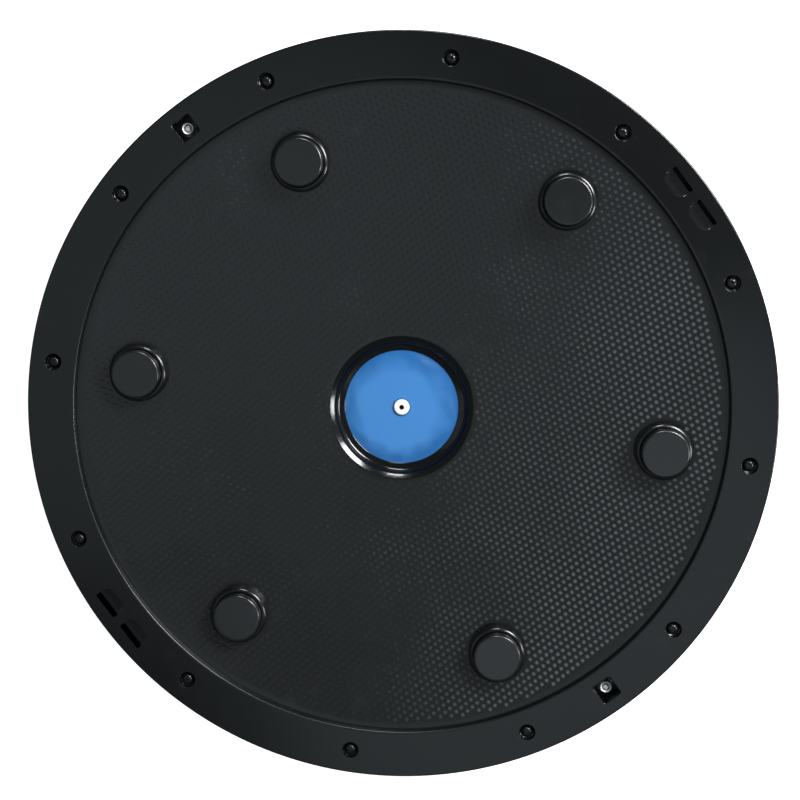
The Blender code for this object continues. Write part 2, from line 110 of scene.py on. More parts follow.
class Nodes:
    """Short hand for one material's node tree."""

    def __init__(self, name, **shader_values):
        self.material = bpy.data.materials.new(name)
        self.material.use_nodes = True
        self.tree = self.material.node_tree
        self.shader = self.tree.nodes["Principled BSDF"]
        for key, value in shader_values.items():
            self.shader.inputs[key.replace("_", " ")].default_value = value
        self.coordinates = self.tree.nodes.new("ShaderNodeTexCoord").outputs["Object"]

    def node(self, kind, inputs=None, **settings):
        node = self.tree.nodes.new(kind)
        for key, value in settings.items():
            setattr(node, key, value)
        for key, value in (inputs or {}).items():
            if isinstance(value, bpy.types.NodeSocket):
                self.tree.links.new(value, node.inputs[key])
            else:
                node.inputs[key].default_value = value
        return node

    def noise(self, scale, detail=3.0, roughness=0.55, vector=None):
        inputs = {"Vector": vector or self.coordinates, "Scale": scale,
                  "Detail": detail, "Roughness": roughness}
        return self.node("ShaderNodeTexNoise", inputs).outputs["Fac"]

    def ramp(self, factor, low, high, from_low=0.3, from_high=0.7):
        inputs = {"Value": factor, "From Min": from_low, "From Max": from_high,
                  "To Min": low, "To Max": high}
        return self.node("ShaderNodeMapRange", inputs).outputs["Result"]

    def mix_colour(self, factor, first, second):
        mix = self.node("ShaderNodeMix", data_type="RGBA")
        self.tree.links.new(factor, mix.inputs["Factor"])
        for socket, value in ((mix.inputs[6], first), (mix.inputs[7], second)):
            if isinstance(value, bpy.types.NodeSocket):
                self.tree.links.new(value, socket)
            else:
                socket.default_value = (*value, 1.0)
        return mix.outputs[2]

    def maths(self, operation, first, second):
        node = self.node("ShaderNodeMath", operation=operation)
        for socket, value in zip(node.inputs, (first, second)):
            if isinstance(value, bpy.types.NodeSocket):
                self.tree.links.new(value, socket)
            else:
                socket.default_value = value
        return node.outputs[0]

    def vector_maths(self, operation, *values, result="Vector"):
        node = self.node("ShaderNodeVectorMath", dict(enumerate(values)), operation=operation)
        return node.outputs[result]

    def link(self, output, shader_input):
        self.tree.links.new(output, self.shader.inputs[shader_input])

    def bump(self, height, strength, distance, previous=None):
        inputs = {"Height": height, "Strength": strength, "Distance": distance}
        if previous is not None:
            inputs["Normal"] = previous
        return self.node("ShaderNodeBump", inputs).outputs["Normal"]


def painted_dot_sheen(m, base, sheen_colour):
    """Blend a paler colour over the tops of the dots: a painted sheen, more of it towards one side,
    broken up by random dusty patches.
    """
    direction = (math.cos(SHEEN_DIRECTION), math.sin(SHEEN_DIRECTION), 0.0)
    # painted sheen: grows along one direction across the deck, with random patches and fine dust on top
    along = m.vector_maths("DOT_PRODUCT", m.coordinates, direction, result="Value")
    patches = m.ramp(m.noise(11.0, 3.0), -0.22, 0.22)
    reach = m.maths("ADD", m.ramp(along, 0.0, 1.0, 0.0, SHEEN_REACH), patches)
    sheen_and_dust = m.maths("ADD", reach, m.ramp(m.noise(420.0, 2.0), -0.15, 0.15))
    flat = m.vector_maths("MULTIPLY", m.coordinates, (1.0, 1.0, 0.0))
    square = m.vector_maths("DOT_PRODUCT", flat, flat, result="Value")
    height = m.node("ShaderNodeSeparateXYZ", {0: m.coordinates}).outputs["Z"]
    above = m.maths("SUBTRACT", height, m.maths("MULTIPLY", square, DECK_SAG / DECK_RADIUS ** 2))
    bottom = FLANGE + deck_height(0.0)
    proud = m.ramp(above, 0.0, 1.0, bottom, bottom + DOT_HEIGHT)
    # how much painted sheen each point of a dot's top gets
    share = m.maths("MULTIPLY", m.ramp(sheen_and_dust, 0.0, 1.0, 0.12, 1.0), m.maths("POWER", proud, 0.6))
    return m.mix_colour(share, base, sheen_colour)


def moulded_plastic(name, colour, roughness, spread, grain_scale, grain_depth,
                    ripple=0.0, shine=0.5, sheen_colour=None):
    """Dark moulded plastic: fine spark-eroded grain, cloudy gloss, faint smudges and dust.

    A sheen colour is painted over the tops of the dots: a painted highlight that grows towards one
    side, broken up by random dusty patches.
    """
    m = Nodes(name, Specular_IOR_Level=shine)
    cloud = m.noise(9.0, 4.0)
    fine = m.noise(grain_scale, 2.0, 0.6)
    smudge = m.noise(34.0, 6.0, 0.7)
    lighter = tuple(c * 1.5 for c in colour)
    base = m.mix_colour(m.ramp(cloud, 0.0, 0.7), colour, lighter)
    base = m.mix_colour(m.ramp(smudge, 0.0, 0.12, 0.60, 0.80), base, (0.040, 0.042, 0.044))
    # the dots' tops get a painted sheen, paler towards one side
    if sheen_colour:
        base = painted_dot_sheen(m, base, sheen_colour)
    m.link(base, "Base Color")
    clouded = m.ramp(cloud, roughness - spread, roughness + spread)
    m.link(m.maths("ADD", clouded, m.ramp(smudge, 0.0, 0.03, 0.56, 0.75)), "Roughness")
    normal = m.bump(fine, 0.35, grain_depth)
    if ripple:
        normal = m.bump(m.noise(230.0, 1.0), 1.0, ripple, normal)
    m.link(normal, "Normal")
    return m.material


def rubber_material():
    """Foot rubber: dark, slightly dusty and satin, with fine pores."""
    m = Nodes("foot_rubber", Specular_IOR_Level=0.62)
    cloud = m.noise(38.0, 4.0)
    clean, dusty = (0.0044, 0.0057, 0.0064), (0.0062, 0.0077, 0.0085)
    m.link(m.mix_colour(m.ramp(cloud, 0.0, 0.6), clean, dusty), "Base Color")
    m.link(m.ramp(cloud, 0.19, 0.25), "Roughness")
    m.link(m.bump(m.noise(2600.0, 2.0), 0.30, 0.00012), "Normal")
    return m.material


def vinyl_material(name, colour, faded, roughness, edge_shade=None):
    """Blue inflatable vinyl: soft sheen, cloudy pigment and a fine leathery grain.

    An edge shade colour is painted shade towards the edge of the opening, where the lip shades the
    sheet and it slopes away; it reaches further in on one side.
    """
    m = Nodes(name, Specular_IOR_Level=0.32, Subsurface_Weight=0.06,
              Subsurface_Radius=(0.0015, 0.003, 0.006))
    cloud = m.noise(7.0, 3.0)
    base = m.mix_colour(m.ramp(cloud, 0.0, 0.6), colour, faded)
    if edge_shade:
        # painted shade: darker towards the rim of the opening, reaching further in on one side
        off_centre = (0.0048, 0.0022, 0.0)
        flat = m.vector_maths("MULTIPLY_ADD", m.coordinates, (1.0, 1.0, 0.0), off_centre)
        reach = m.vector_maths("LENGTH", flat, result="Value")
        wander = m.maths("ADD", reach, m.ramp(m.noise(45.0, 2.0), -0.004, 0.004))
        base = m.mix_colour(m.ramp(wander, 0.0, 1.0, 0.030, 0.046), base, edge_shade)
    m.link(base, "Base Color")
    m.link(m.ramp(cloud, roughness - 0.05, roughness + 0.06), "Roughness")
    m.link(m.bump(m.noise(900.0, 3.0, 0.6), 0.22, 0.00015), "Normal")
    return m.material


def plug_material(name, colour, worn):
    """Hard plug plastic, a little worn in patches."""
    m = Nodes(name, Specular_IOR_Level=0.5)
    cloud = m.noise(160.0, 3.0)
    m.link(m.mix_colour(m.ramp(cloud, 0.0, 0.5), colour, worn), "Base Color")
    m.link(m.ramp(cloud, 0.30, 0.42), "Roughness")
    m.link(m.bump(m.noise(1500.0), 0.15, 0.00005), "Normal")
    return m.material


def metal_material(name, colour, dark, roughness, metallic, marks, shine):
    """Plated or blackened steel with handling marks."""
    m = Nodes(name, Metallic=metallic, Specular_IOR_Level=shine)
    cloud = m.noise(240.0, 4.0)
    stretched = m.node("ShaderNodeMapping", {"Vector": m.coordinates, "Scale": (300.0, 300.0, 2200.0)})
    streak = m.noise(1.0, 3.0, 0.6, stretched.outputs["Vector"])
    m.link(m.mix_colour(m.ramp(cloud, 0.0, 0.7), colour, dark), "Base Color")
    m.link(m.ramp(streak, roughness - 0.3 * roughness, roughness + 0.3 * roughness), "Roughness")
    m.link(m.bump(streak, marks, 0.00004), "Normal")
    return m.material


FLANGE_PLASTIC = moulded_plastic("flange_plastic", (0.0020, 0.0027, 0.0031), 0.18, 0.015,
                                 1500.0, 0.00004)
DECK_PLASTIC = moulded_plastic("deck_plastic", (0.0024, 0.0032, 0.0037), 0.27, 0.025,
                               900.0, 0.00006, shine=0.49)
# dots: their tops carry a painted sheen, paler towards one side
DOT_PLASTIC = moulded_plastic("dot_plastic", (0.0024, 0.0032, 0.0037), 0.28, 0.025,
                              900.0, 0.00004, shine=0.49, sheen_colour=(0.078, 0.086, 0.091))
LIP_PLASTIC = moulded_plastic("lip_plastic", (0.0016, 0.0020, 0.0023), 0.14, 0.02,
                              700.0, 0.00001, ripple=0.00004)
COLLAR_PLASTIC = moulded_plastic("collar_plastic", (0.0020, 0.0026, 0.0030), 0.21, 0.02,
                                 900.0, 0.00001, ripple=0.00004)
RING_PLASTIC = moulded_plastic("ring_plastic", (0.0036, 0.0046, 0.0052), 0.34, 0.05,
                               1500.0, 0.00010)
FOOT_RUBBER = rubber_material()
DOME_VINYL = vinyl_material("dome_vinyl", (0.030, 0.150, 0.400), (0.040, 0.175, 0.440), 0.32)
# the sheet's edge colour is painted shade round the rim of the opening
SHEET_VINYL = vinyl_material("sheet_vinyl", (0.044, 0.185, 0.465), (0.054, 0.212, 0.505), 0.32,
                             edge_shade=(0.015, 0.108, 0.310))
PLUG_PLASTIC = plug_material("plug_plastic", (0.86, 0.87, 0.88), (0.78, 0.79, 0.80))
# near-black inside the plug's blind hole: painted shade for the dark of the hole
BORE_SHADE_PLASTIC = plug_material("plug_bore_painted_shade", (0.012, 0.012, 0.014), (0.030, 0.030, 0.032))
SCREW_STEEL = metal_material("blackened_steel", (0.010, 0.010, 0.011), (0.006, 0.006, 0.007),
                             0.15, 0.0, 0.04, 0.34)
# bright zinc: the plating made brighter than it is, painted light so the nut and bolt end read bright
# in their dim windows
LIT_ZINC_STEEL = metal_material("zinc_steel", (0.94, 0.94, 0.95), (0.76, 0.77, 0.79),
                            0.48, 1.0, 0.12, 0.5)
# the same plating at its plain brightness, a darker copy of the bright zinc above
EYE_STEEL = metal_material("eye_steel", (0.46, 0.47, 0.49), (0.30, 0.31, 0.33),
                           0.40, 1.0, 0.12, 0.5)


# ---- Mesh helpers --------------------------------------------------------------------

class Surface:
    """Gathers points and faces; heights are from the flange face."""

    def __init__(self):
        self.points = []
        self.faces = []
        self.slots = []
        self.creases = set()

    def loop(self, outline):
        start = len(self.points)
        self.points.extend(outline)
        return list(range(start, len(self.points)))

    def face(self, corners, slot=0):
        self.faces.append(corners)
        self.slots.append(slot)

    def bridge(self, low, high, slot=0):
        count = len(low)
        for index in range(count):
            after = (index + 1) % count
            self.face((low[index], low[after], high[after], high[index]), slot)

    def chain(self, loops, slot=0):
        for low, high in zip(loops, loops[1:]):
            self.bridge(low, high, slot)

    def crease(self, loop):
        """Keep the edges along a closed loop sharp."""
        self.creases.update(frozenset((loop[index - 1], loop[index])) for index in range(len(loop)))

    def cap(self, loop, slot=0):
        centre = Vector((0.0, 0.0, 0.0))
        for index in loop:
            centre += Vector(self.points[index])
        middle = self.loop([tuple(centre / len(loop))])[0]
        for index in range(len(loop)):
            self.face((loop[index], loop[(index + 1) % len(loop)], middle), slot)

    def rings(self, profile, count, centre=(0.0, 0.0)):
        """Closed loops for each (radius, height) of a profile."""
        return [self.loop(circle(radius, height, count, centre)) for radius, height in profile]

    def fill(self, outer, holes, extra=(), slot=0, peaks=(), peak_slot=0):
        """Triangulate the plan between an outer loop and convex holes, through extra points.

        Faces that touch a peak get a slot of their own.
        """
        used = list(outer)
        edges = []
        owner = {}
        for number, loop in enumerate([outer] + list(holes)):
            start = 0 if number == 0 else len(used)
            if number:
                used.extend(loop)
                for index in range(start, len(used)):
                    owner[index] = number
            count = len(loop)
            edges.extend((start + index, start + (index + 1) % count) for index in range(count))
        used.extend(extra)
        plan = [Vector(self.points[index][:2]) for index in used]
        result = delaunay_2d_cdt(plan, edges, [], 0, 1e-7)
        back = [origin[0] for origin in result[3]]
        peaks = set(peaks)
        for corners in result[2]:
            inputs = [back[corner] for corner in corners]
            owners = {owner.get(index, 0) for index in inputs}
            if len(owners) == 1 and 0 not in owners:
                continue
            face = tuple(used[index] for index in inputs)
            self.face(face, slot if peaks.isdisjoint(face) else peak_slot)

    def mesh(self, name, crisp=()):
        """The finished mesh: smooth, but sharp on creases and between two slots named in crisp."""
        mesh = bpy.data.meshes.new(name)
        mesh.from_pydata([(x, y, z + FLANGE) for x, y, z in self.points], [], self.faces)
        mesh.polygons.foreach_set("material_index", self.slots)
        shape = bmesh.new()
        shape.from_mesh(mesh)
        bmesh.ops.recalc_face_normals(shape, faces=shape.faces)
        for face in shape.faces:
            face.smooth = True
        for edge in shape.edges:
            ends = frozenset(vert.index for vert in edge.verts)
            slots = {face.material_index for face in edge.link_faces}
            edge.smooth = slots not in crisp and ends not in self.creases
        shape.to_mesh(mesh)
        shape.free()
        return mesh


def circle(radius, height, count, centre=(0.0, 0.0)):
    """Points round a circle; the height may be a function of the place."""
    outline = []
    for index in range(count):
        turn = math.tau * index / count
        x = centre[0] + radius * math.cos(turn)
        y = centre[1] + radius * math.sin(turn)
        outline.append((x, y, height(x, y) if callable(height) else height))
    return outline


def rounded_outline(inner, outer, half_width, inner_round, outer_round, height, angle, side=0.0):
    """Plan outline of a rounded opening between two radii, at an angle and a sideways offset."""
    steps = 6
    corners = [(inner + inner_round, -half_width + inner_round, inner_round, math.pi),
               (outer - outer_round, -half_width + outer_round, outer_round, 1.5 * math.pi),
               (outer - outer_round, half_width - outer_round, outer_round, 0.0),
               (inner + inner_round, half_width - inner_round, inner_round, 0.5 * math.pi)]
    outline = []
    for radial, across, radius, start in corners:
        for step in range(steps + 1):
            turn = start + 0.5 * math.pi * step / steps
            r = radial + radius * math.cos(turn)
            s = across + radius * math.sin(turn) + side
            outline.append((r * math.cos(angle) - s * math.sin(angle),
                            r * math.sin(angle) + s * math.cos(angle), height))
    return outline


def add_piece(name, mesh, materials, replaced, body="root"):
    """Put a mesh in the scene in place of the CAD nodes it replaces."""
    for material in materials:
        mesh.materials.append(material)
    piece = bpy.data.objects.new(name, mesh)
    bpy.context.scene.collection.objects.link(piece)
    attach(piece, body)
    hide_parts(*replaced)
    return piece


def turned(name, profile, count, crease=None):
    """Turn a (radius, height) profile; ends on the axis are closed, otherwise it is a ring."""
    s = Surface()
    open_ends = profile[0][0] == 0.0
    inner = profile[1:-1] if open_ends else profile
    loops = s.rings(inner, count)
    s.chain(loops)
    if open_ends:
        for loop, height in ((loops[0], profile[0][1]), (loops[-1], profile[-1][1])):
            tip = s.loop([(0.0, 0.0, height)])[0]
            for index in range(count):
                s.face((loop[index], loop[(index + 1) % count], tip))
    else:
        s.bridge(loops[-1], loops[0])
    mesh = s.mesh(name)
    if crease:
        mesh.set_sharp_from_angle(angle=math.radians(crease))
    return mesh


def arc(centre, radius, start, end, steps):
    """Points of an arc in the (radius, height) plane; angles in degrees."""
    points = []
    for step in range(steps + 1):
        turn = math.radians(start + (end - start) * step / steps)
        points.append((centre[0] + radius * math.cos(turn), centre[1] + radius * math.sin(turn)))
    return points


# ---- Platform ------------------------------------------------------------------------

def dot_places():
    """Centres of the grip dots that clear the hub, the step and the feet."""
    along = Vector((math.cos(DOT_ROW_ANGLE), math.sin(DOT_ROW_ANGLE))) * DOT_PITCH
    across = Vector((-math.sin(DOT_ROW_ANGLE), math.cos(DOT_ROW_ANGLE))) * DOT_ROW_PITCH
    feet = [Vector(polar(FOOT_CIRCLE, angle)) for angle in FOOT_ANGLES]
    reach = int(DECK_RADIUS / DOT_PITCH) + 2
    places = []
    for row in range(-reach, reach + 1):
        for column in range(-reach, reach + 1):
            place = along * (column + 0.5 * (row % 2)) + across * row
            radius = place.length
            if radius > DECK_RADIUS - DOT_EDGE_CLEAR or radius < HUB + DOT_EDGE_CLEAR:
                continue
            if any((place - foot).length < DOT_FOOT_CLEAR for foot in feet):
                continue
            places.append(place)
    return places


def on_deck(x, y):
    return deck_height(math.hypot(x, y))


def add_dots(surface):
    """Points for every grip dot: a ring on the deck and a peak; also the peaks alone."""
    rings, peaks = [], []
    for place in dot_places():
        peak = deck_height(place.length) + DOT_HEIGHT
        peaks += surface.loop([(place.x, place.y, peak)])
        rings += surface.loop(circle(DOT_RADIUS, on_deck, DOT_SIDES, place))
    return rings + peaks, peaks


def collar_loops(surface, angle):
    """A foot collar: upright wall, broad falling shoulder, socket and the bore under it."""
    count = 48
    centre = polar(FOOT_CIRCLE, angle)
    foot_of_wall = 0.0230
    bore = 0.0042
    base = surface.loop(circle(foot_of_wall, on_deck, count, centre))
    wall = [(foot_of_wall, -0.0080), (0.02292, -0.0066), (0.02282, -0.0061)]
    shoulder = [(0.02266, -0.0058)] + arc((0.0195, -0.0091), 0.0046, 50, 82, 6)
    socket = [(0.01995, -0.0046), (0.0198, -0.0049), (0.0198, SOCKET_FLOOR),
              (bore + 0.0002, SOCKET_FLOOR), (bore, SOCKET_FLOOR - 0.0003), (bore, -0.0184)]
    upper = surface.rings(wall + shoulder + socket, count, centre)
    surface.crease(base)
    surface.chain([base] + upper[:len(wall)], DECK_LOOK)
    surface.chain(upper[len(wall) - 1:], COLLAR_LOOK)
    surface.cap(upper[-1], COLLAR_LOOK)
    return base


def counterbore_loops(surface, angle):
    """A counterbore for a screw's head with the screw's hole; gives the top and bottom loops."""
    radius, hole, seat = 0.00645, 0.0026, -0.0046
    profile = [(0.0072, 0.0), (0.0068, 0.0), (0.00662, -0.00004), (0.00651, -0.00014),
               (radius, -0.0004), (radius, -0.0043), (0.0062, seat),
               (hole + 0.0002, seat), (hole, -0.0048), (hole, -THICK)]
    loops = surface.rings(profile, 32, polar(PITCH_CIRCLE, angle))
    surface.chain(loops, FACE_LOOK)
    return loops[0], loops[-1]


def window_loops(surface, angle):
    """A square window with a softened edge; gives the top and bottom loops."""
    half, corner = 0.00775, 0.0012
    edge = [(0.0018, 0.0), (0.0013, -0.00002), (0.0009, -0.0001), (0.00055, -0.0003),
            (0.00025, -0.00065), (0.00008, -0.0010), (0.0, -0.0015), (0.0, -THICK)]
    loops = []
    for grow, height in edge:
        outline = rounded_outline(PITCH_CIRCLE - half - grow, PITCH_CIRCLE + half + grow,
                                  half + grow, corner + grow, corner + grow, height, angle)
        loops.append(surface.loop(outline))
    surface.chain(loops, FACE_LOOK)
    return loops[0], loops[-1]


def slot_loops(surface, angle, side, ramp_end):
    """A strap slot: a shallow pocket with a rounded back, and a slit that opens under the rim.

    Each row is how far the outline grows, its height, how far its back has run from the pocket's
    inner end to the slit, and how far its front has moved into the undercut.
    """
    half = 0.01175
    inner, outer, undercut = 0.2752, 0.2888, 0.2924
    back_round, corner = 0.0052, 0.0010
    pocket = [(0.0010, 0.0, 0.0, 0.0), (0.0, 0.0, 0.0, 0.0), (0.0, -0.00006, 0.08, 0.0),
              (0.0, -0.0002, 0.22, 0.0), (0.0, -0.00033, 0.42, 0.0), (0.0, -0.0004, 0.66, 0.0),
              (0.0, -0.0004, 0.90, 0.0)]
    slit = [(0.0, -0.0024, 0.905, 0.3), (0.0, -0.0028, 0.91, 1.0), (0.0, -0.0090, 0.92, 1.0),
            (0.0, -THICK, 0.92, 1.0)]
    loops = []
    for grow, height, run, under in pocket + slit:
        back = inner + (ramp_end - inner) * run
        front = outer + (undercut - outer) * under
        rounding = back_round * (1 - run) ** 0.7 + corner + grow
        outline = rounded_outline(back - grow, front + grow, half + grow, rounding, 0.0012 + grow,
                                  height, angle, side)
        loops.append(surface.loop(outline))
    outer_edge = loops[1]
    surface.crease(outer_edge)
    surface.chain(loops[:len(pocket)], FACE_LOOK)
    surface.chain(loops[len(pocket) - 1:], DECK_LOOK)
    return loops[0], loops[-1]


def openings(surface):
    """Every opening in the flange; gives their loops on its upper and lower face."""
    pairs = [counterbore_loops(surface, angle) for angle in SCREW_ANGLES]
    pairs += [window_loops(surface, angle) for angle in ANCHOR_ANGLES]
    for angle, ramp_end in zip(SLOT_ANGLES, SLIT_STARTS):
        for side in (-SLOT_SPACING / 2, SLOT_SPACING / 2):
            pairs.append(slot_loops(surface, angle, side, ramp_end))
    return [top for top, _ in pairs], [bottom for _, bottom in pairs]


def build_platform():
    """The moulded platform: flange, step, dished deck with dots and collars, lip and underside."""
    s = Surface()
    round_off = 0.0012
    edge = [(OUTER - 0.0018, 0.0)] + arc((OUTER - round_off, -round_off), round_off, 90, 0, 5)
    edge += [(OUTER, -0.0094), (OUTER - 0.0002, -0.0098), (OUTER - 0.0007, -THICK),
             (OUTER - 0.0012, -THICK)]
    edge_loops = s.rings(edge, AROUND)
    s.chain(edge_loops, FACE_LOOK)
    tops, bottoms = openings(s)

    fillet = 0.0016
    step = [(STEP + 0.0024, 0.0), (STEP + 0.0019, 0.0)]
    step += arc((STEP + fillet, -fillet), fillet, 96, 176, 6)
    step += [(STEP - 0.0003, -0.0050), (STEP - 0.0004, -0.0069)]
    step_loops = s.rings(step, AROUND)
    s.crease(step_loops[-1])
    s.chain(step_loops, DECK_LOOK)
    s.fill(edge_loops[0], tops + [step_loops[0]], slot=FACE_LOOK)

    deck_edge = s.loop(circle(DECK_RADIUS, -DECK_DROP, AROUND))
    s.bridge(step_loops[-1], deck_edge, DECK_LOOK)
    hub_edge = s.loop(circle(HUB, deck_height(HUB), HUB_AROUND))
    collars = [collar_loops(s, angle) for angle in FOOT_ANGLES]
    points, peaks = add_dots(s)
    s.fill(deck_edge, collars + [hub_edge], points, DECK_LOOK, peaks, DOT_LOOK)

    deck = deck_height(HUB)
    band = [(0.0593, deck - 0.00006), (0.0590, deck - 0.00018), (0.0585, deck - 0.00042),
            (0.0579, deck - 0.00072), (0.0573, deck - 0.00102), (0.0567, deck - 0.00133),
            (0.0561, deck - 0.00165), (0.0556, deck - 0.00193), (0.0552, deck - 0.0022),
            (0.0549, deck - 0.0025), (0.0547, deck - 0.0029)]
    ledge = [(0.0543, -0.0415), (0.0539, -0.0425), (0.0534, -0.0434), (0.0529, -0.0440),
             (0.0523, -0.04445), (0.0517, -0.04475), (0.0510, -0.0450), (0.0498, -0.04534),
             (0.0486, -0.04568), (0.0475, -0.0460)]
    edge_of_lip = [(0.04715, -0.0461), (0.0470, -0.0463), (0.0471, -0.0465),
                   (0.0475, LIP_BOTTOM), (LIP_OUTER, LIP_BOTTOM)]
    lip_loops = [hub_edge] + s.rings(band + ledge + edge_of_lip, HUB_AROUND)
    s.chain(lip_loops, LIP_LOOK)

    under_edge = s.loop(circle(DECK_RADIUS, -DECK_DROP - DECK_THICK, AROUND))
    extra = []
    for radius in (0.075, 0.100, 0.130, 0.165, 0.200, 0.230):
        extra += s.loop(circle(radius, deck_height(radius) - DECK_THICK, 72))
    s.fill(under_edge, [lip_loops[-1]], extra, slot=FACE_LOOK)
    inner_bottom = s.loop(circle(STEP + 0.0008, -THICK, AROUND))
    s.bridge(under_edge, inner_bottom, FACE_LOOK)
    s.fill(edge_loops[-1], bottoms + [inner_bottom], slot=FACE_LOOK)

    mesh = s.mesh("platform_moulding", ({DECK_LOOK, DOT_LOOK}, {FACE_LOOK, DECK_LOOK}))
    looks = [FLANGE_PLASTIC, DECK_PLASTIC, LIP_PLASTIC, DOT_PLASTIC, COLLAR_PLASTIC]
    add_piece("platform_moulding", mesh, looks, ["platform"])


# ---- Clamp ring ----------------------------------------------------------------------

RING_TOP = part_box("clamp_ring")[1][2] - FLANGE
RING_INNER = 0.2660
BEAD = 0.2728                                # radius of the wall behind the dome's thick edge
LEDGE = -0.0157                              # ledge that hooks the dome's thick edge
NUT_SEAT = -0.0190                           # floor of the nut pockets
STRAP_FLOOR = -0.0235                        # floor of the strap recesses


def build_clamp_ring():
    """The ring under the flange, with screw bores, nut pockets and strap recesses."""
    s = Surface()
    edge, belly, nose = OUTER, 0.0068, 0.0025
    wall = [(edge - 0.0018, RING_TOP), (edge - 0.0010, RING_TOP), (edge - 0.0004, RING_TOP - 0.0002),
            (edge - 0.0001, RING_TOP - 0.0006), (edge, RING_TOP - 0.0012), (edge, RING_BOTTOM + 0.0110)]
    wall += arc((edge - belly, RING_BOTTOM + belly), belly, 0, -80, 8)
    wall += [(edge - 0.0070, RING_BOTTOM), (edge - 0.0076, RING_BOTTOM)]
    inner = [(RING_INNER + 0.0036, RING_BOTTOM), (RING_INNER + 0.0030, RING_BOTTOM)]
    inner += arc((RING_INNER + nose, RING_BOTTOM + nose), nose, 255, 180, 5)
    inner += [(RING_INNER, LEDGE - 0.0006), (RING_INNER + 0.0003, LEDGE), (RING_INNER + 0.0010, LEDGE),
              (BEAD, LEDGE), (BEAD, RING_TOP - 0.0004), (BEAD + 0.0004, RING_TOP),
              (BEAD + 0.0009, RING_TOP)]
    wall_loops = s.rings(wall, AROUND)
    inner_loops = s.rings(inner, AROUND)
    s.chain(wall_loops)
    s.chain(inner_loops)

    tops, bottoms = [], []
    screw_bore = [(0.0026, RING_TOP), (0.0024, RING_TOP - 0.0002), (0.0024, -0.0231)]
    for angle in SCREW_ANGLES:
        loops = s.rings(screw_bore, 20, polar(PITCH_CIRCLE, angle))
        s.chain(loops)
        s.cap(loops[-1])
        tops.append(loops[0])
    bolt_bore = [(0.0033, NUT_SEAT), (0.0033, RING_BOTTOM + 0.0003), (0.0036, RING_BOTTOM)]
    for angle in ANCHOR_ANGLES:
        pocket = [s.loop(rounded_outline(0.2745, 0.2892, 0.00825, 0.0012, 0.0012, height, angle))
                  for height in (RING_TOP, NUT_SEAT)]
        hole = s.rings(bolt_bore, 24, polar(PITCH_CIRCLE, angle))
        s.chain(pocket)
        s.chain(hole)
        s.fill(pocket[-1], [hole[0]])
        tops.append(pocket[0])
        bottoms.append(hole[-1])
    for angle in SLOT_ANGLES:
        recess = [s.loop(rounded_outline(0.2803, 0.2925, 0.02805, 0.0012, 0.0012, height, angle))
                  for height in (RING_TOP, STRAP_FLOOR)]
        s.chain(recess)
        s.fill(recess[-1], [])
        tops.append(recess[0])
    s.fill(wall_loops[0], tops + [inner_loops[-1]])
    s.fill(wall_loops[-1], bottoms + [inner_loops[0]])
    mesh = s.mesh("clamp_ring_moulding")
    mesh.set_sharp_from_angle(angle=math.radians(50))
    add_piece("clamp_ring_moulding", mesh, [RING_PLASTIC], ["clamp_ring"])


# ---- Bladder -------------------------------------------------------------------------

DOME_BASE = 0.2650
DOME_SINK = 0.0050                           # how far the ball's low point is pressed flat
RIM_RADIUS = 0.2725                          # outer radius of the clamped edge and the sheet
WALL = 0.0028
SHEET = 0.0018
RIDGE_ANGLES = [math.radians(angle) for angle in (22, 27, 32, 37, 42, 47, 52)]
RIDGE_LIFT = 0.0007
RIDGE_HALF_WIDTH = 0.0030
PATCH_ROUND = 0.0030                         # rounding where the ball meets its flat patch
VALVE_BORE = 0.0073                          # radius of the hole in the sheet for the valve seat
SHEET_LIP = 0.0480                           # radius at which the sheet leaves the lip


def smooth_highest(first, second, width):
    """The larger of two heights, rounded over where they meet."""
    share = max(width - abs(first - second), 0.0) / width
    return max(first, second) + share * share * width * 0.25


def ridge_lift(angle, ball):
    """How far the grip ridges stand out of the ball at an angle from its low point."""
    lift = 0.0
    for ridge in RIDGE_ANGLES:
        share = min(1.0, abs(angle - ridge) * ball / RIDGE_HALF_WIDTH)
        lift += RIDGE_LIFT * max(0.0, math.cos(share * math.pi / 2)) ** 2
    return lift


def build_dome():
    """Inflated dome: a ball resting on a softly flattened patch, with low grip ridges."""
    start = RING_BOTTOM - 0.0005
    rise = start - FLOOR + DOME_SINK
    ball = (DOME_BASE ** 2 + rise ** 2) / (2 * rise)
    centre = FLOOR - DOME_SINK + ball
    first = math.asin(DOME_BASE / ball)
    steps = 150
    inset = 0.0008
    rim_top = -THICK - SHEET - 0.0006
    outside = [(RIM_RADIUS, rim_top - 0.0004), (RIM_RADIUS, rim_top - 0.0026),
               (RIM_RADIUS - 0.0004, rim_top - 0.0030), (DOME_BASE + 0.0016, rim_top - 0.0030),
               (DOME_BASE + 0.0006, rim_top - 0.0036), (DOME_BASE + 0.0002, start + 0.0030)]
    inside = [(RIM_RADIUS - 0.0004, rim_top), (DOME_BASE - 0.0016, rim_top),
              (DOME_BASE - 0.0030, rim_top - 0.0014)]
    for step in range(steps):
        angle = first * (1 - step / steps)
        lift = ridge_lift(angle, ball) * min(1.0, step / 6)
        reach = ball + lift - inset * min(1.0, step / 10)
        height = centre - reach * math.cos(angle)
        outside.append((reach * math.sin(angle), smooth_highest(height, FLOOR + 0.0001, PATCH_ROUND)))
    for step in range(0, steps, 6):
        angle = first * (1 - step / steps)
        height = centre - (ball - WALL) * math.cos(angle)
        inside.append(((ball - WALL - inset) * math.sin(angle),
                       smooth_highest(height, FLOOR + WALL, PATCH_ROUND)))
    profile = [(0.0, FLOOR + 0.0001)] + outside[::-1] + inside + [(0.0, FLOOR + WALL)]
    mesh = turned("dome_bladder", profile, 180)
    dome = add_piece("dome_bladder", mesh, [DOME_VINYL], ["dome_shell"])


